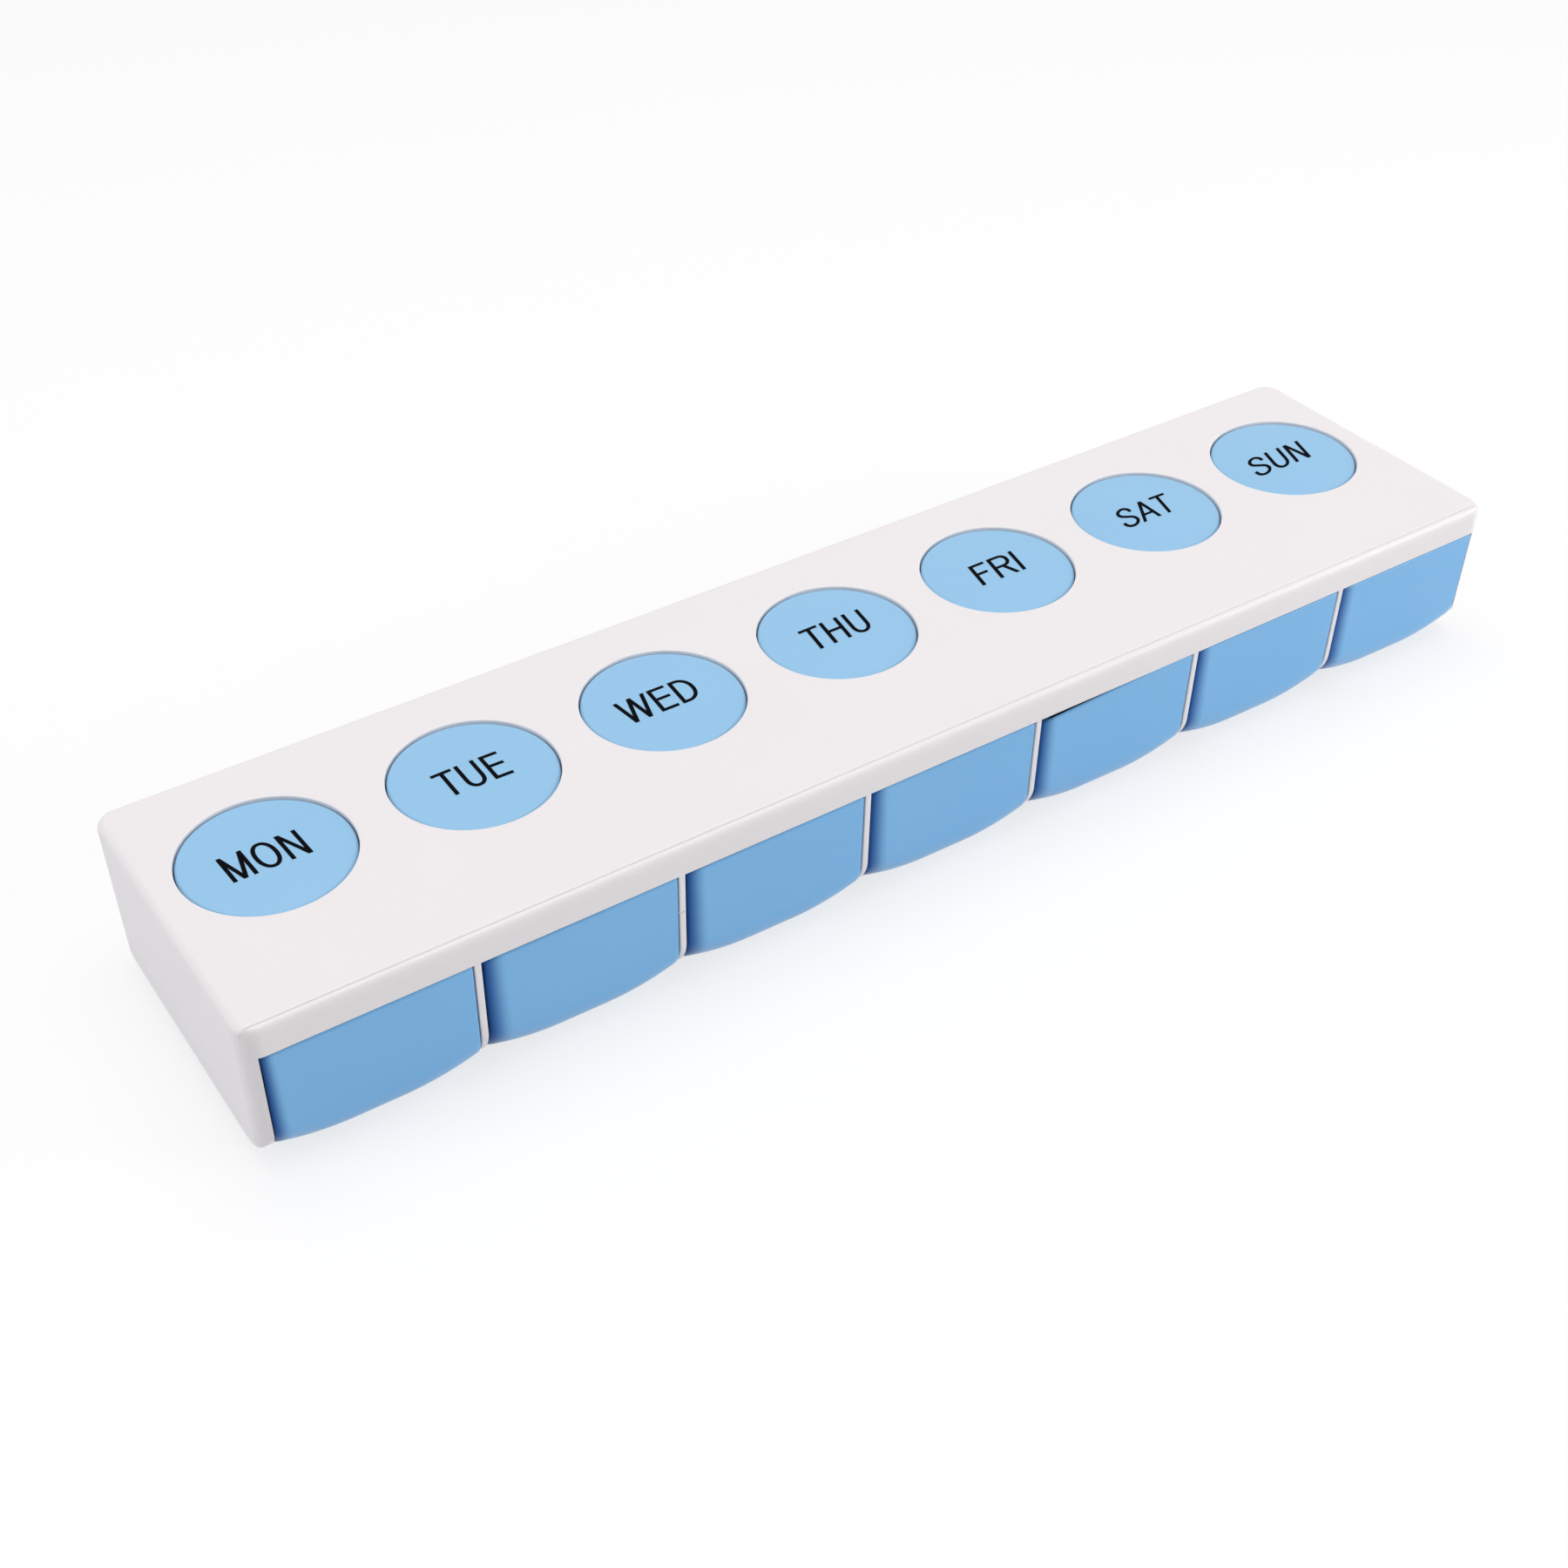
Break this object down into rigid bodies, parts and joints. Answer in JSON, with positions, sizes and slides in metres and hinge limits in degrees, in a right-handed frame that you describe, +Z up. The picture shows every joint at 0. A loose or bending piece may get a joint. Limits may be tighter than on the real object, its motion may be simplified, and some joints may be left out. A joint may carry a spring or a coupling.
{
  "type": "weekly pill box",
  "caption": "White tablet organiser with a row of round blue push buttons on top; pressing one releases the blue pill drawer below it in front, which a spring slides out",
  "frame": {"origin": "middle of the case in plan, on the surface that it stands on", "axes": "+X along the case from Monday to Sunday, -Y towards the drawer fronts, +Z up"},
  "size_m": [0.216, 0.0508, 0.0254],
  "materials": {
    "case_white": "smooth moulded white plastic with a soft sheen",
    "button_blue": "satin sky blue plastic, black printed day name",
    "drawer_blue": "semi-gloss sky blue plastic",
    "deck_grey": "plain light grey plastic, inside the case",
    "spring_steel": "drawn spring wire",
    "screw_steel": "zinc plated, cross recess"
  },
  "bodies": {
    "case": {"top_shell": "case_white", "divider_frame": "case_white", "spring_deck": "deck_grey", "bottom_cover": "case_white", "case_screw_1": "screw_steel", "case_screw_2": "screw_steel", "case_screw_3": "screw_steel", "case_screw_4": "screw_steel", "return_spring_mon": "spring_steel", "return_spring_tue": "spring_steel", "return_spring_wed": "spring_steel", "return_spring_thu": "spring_steel", "return_spring_fri": "spring_steel", "return_spring_sat": "spring_steel", "return_spring_sun": "spring_steel", "ejector_spring_mon": "spring_steel", "ejector_spring_tue": "spring_steel", "ejector_spring_wed": "spring_steel", "ejector_spring_thu": "spring_steel", "ejector_spring_fri": "spring_steel", "ejector_spring_sat": "spring_steel", "ejector_spring_sun": "spring_steel"},
    "mon_button": {"button_mon": "button_blue"},
    "mon_drawer": {"drawer_mon": "drawer_blue"},
    "tue_button": {"button_tue": "button_blue"},
    "tue_drawer": {"drawer_tue": "drawer_blue"},
    "wed_button": {"button_wed": "button_blue"},
    "wed_drawer": {"drawer_wed": "drawer_blue"},
    "thu_button": {"button_thu": "button_blue"},
    "thu_drawer": {"drawer_thu": "drawer_blue"},
    "fri_button": {"button_fri": "button_blue"},
    "fri_drawer": {"drawer_fri": "drawer_blue"},
    "sat_button": {"button_sat": "button_blue"},
    "sat_drawer": {"drawer_sat": "drawer_blue"},
    "sun_button": {"button_sun": "button_blue"},
    "sun_drawer": {"drawer_sun": "drawer_blue"}
  },
  "joints": [
    {"name": "mon_button_press", "type": "slide", "parent": "case", "child": "mon_button", "axis": [0, 0, -1], "range_m": [0, 0.0018], "stiffness_N_per_m": 300, "springref_m": -0.002, "deforming": ["return_spring_mon"]},
    {"name": "tue_button_press", "type": "slide", "parent": "case", "child": "tue_button", "axis": [0, 0, -1], "range_m": [0, 0.0018], "stiffness_N_per_m": 300, "springref_m": -0.002, "deforming": ["return_spring_tue"]},
    {"name": "wed_button_press", "type": "slide", "parent": "case", "child": "wed_button", "axis": [0, 0, -1], "range_m": [0, 0.0018], "stiffness_N_per_m": 300, "springref_m": -0.002, "deforming": ["return_spring_wed"]},
    {"name": "thu_button_press", "type": "slide", "parent": "case", "child": "thu_button", "axis": [0, 0, -1], "range_m": [0, 0.0018], "stiffness_N_per_m": 300, "springref_m": -0.002, "deforming": ["return_spring_thu"]},
    {"name": "fri_button_press", "type": "slide", "parent": "case", "child": "fri_button", "axis": [0, 0, -1], "range_m": [0, 0.0018], "stiffness_N_per_m": 300, "springref_m": -0.002, "deforming": ["return_spring_fri"]},
    {"name": "sat_button_press", "type": "slide", "parent": "case", "child": "sat_button", "axis": [0, 0, -1], "range_m": [0, 0.0018], "stiffness_N_per_m": 300, "springref_m": -0.002, "deforming": ["return_spring_sat"]},
    {"name": "sun_button_press", "type": "slide", "parent": "case", "child": "sun_button", "axis": [0, 0, -1], "range_m": [0, 0.0018], "stiffness_N_per_m": 300, "springref_m": -0.002, "deforming": ["return_spring_sun"]},
    {"name": "mon_drawer_slide", "type": "slide", "parent": "case", "child": "mon_drawer", "axis": [0, -1, 0], "range_m": [0, 0.0255], "deforming": ["ejector_spring_mon"]},
    {"name": "tue_drawer_slide", "type": "slide", "parent": "case", "child": "tue_drawer", "axis": [0, -1, 0], "range_m": [0, 0.0255], "deforming": ["ejector_spring_tue"]},
    {"name": "wed_drawer_slide", "type": "slide", "parent": "case", "child": "wed_drawer", "axis": [0, -1, 0], "range_m": [0, 0.0255], "deforming": ["ejector_spring_wed"]},
    {"name": "thu_drawer_slide", "type": "slide", "parent": "case", "child": "thu_drawer", "axis": [0, -1, 0], "range_m": [0, 0.0255], "deforming": ["ejector_spring_thu"]},
    {"name": "fri_drawer_slide", "type": "slide", "parent": "case", "child": "fri_drawer", "axis": [0, -1, 0], "range_m": [0, 0.0255], "deforming": ["ejector_spring_fri"]},
    {"name": "sat_drawer_slide", "type": "slide", "parent": "case", "child": "sat_drawer", "axis": [0, -1, 0], "range_m": [0, 0.0255], "deforming": ["ejector_spring_sat"]},
    {"name": "sun_drawer_slide", "type": "slide", "parent": "case", "child": "sun_drawer", "axis": [0, -1, 0], "range_m": [0, 0.0255], "deforming": ["ejector_spring_sun"]}
  ]
}
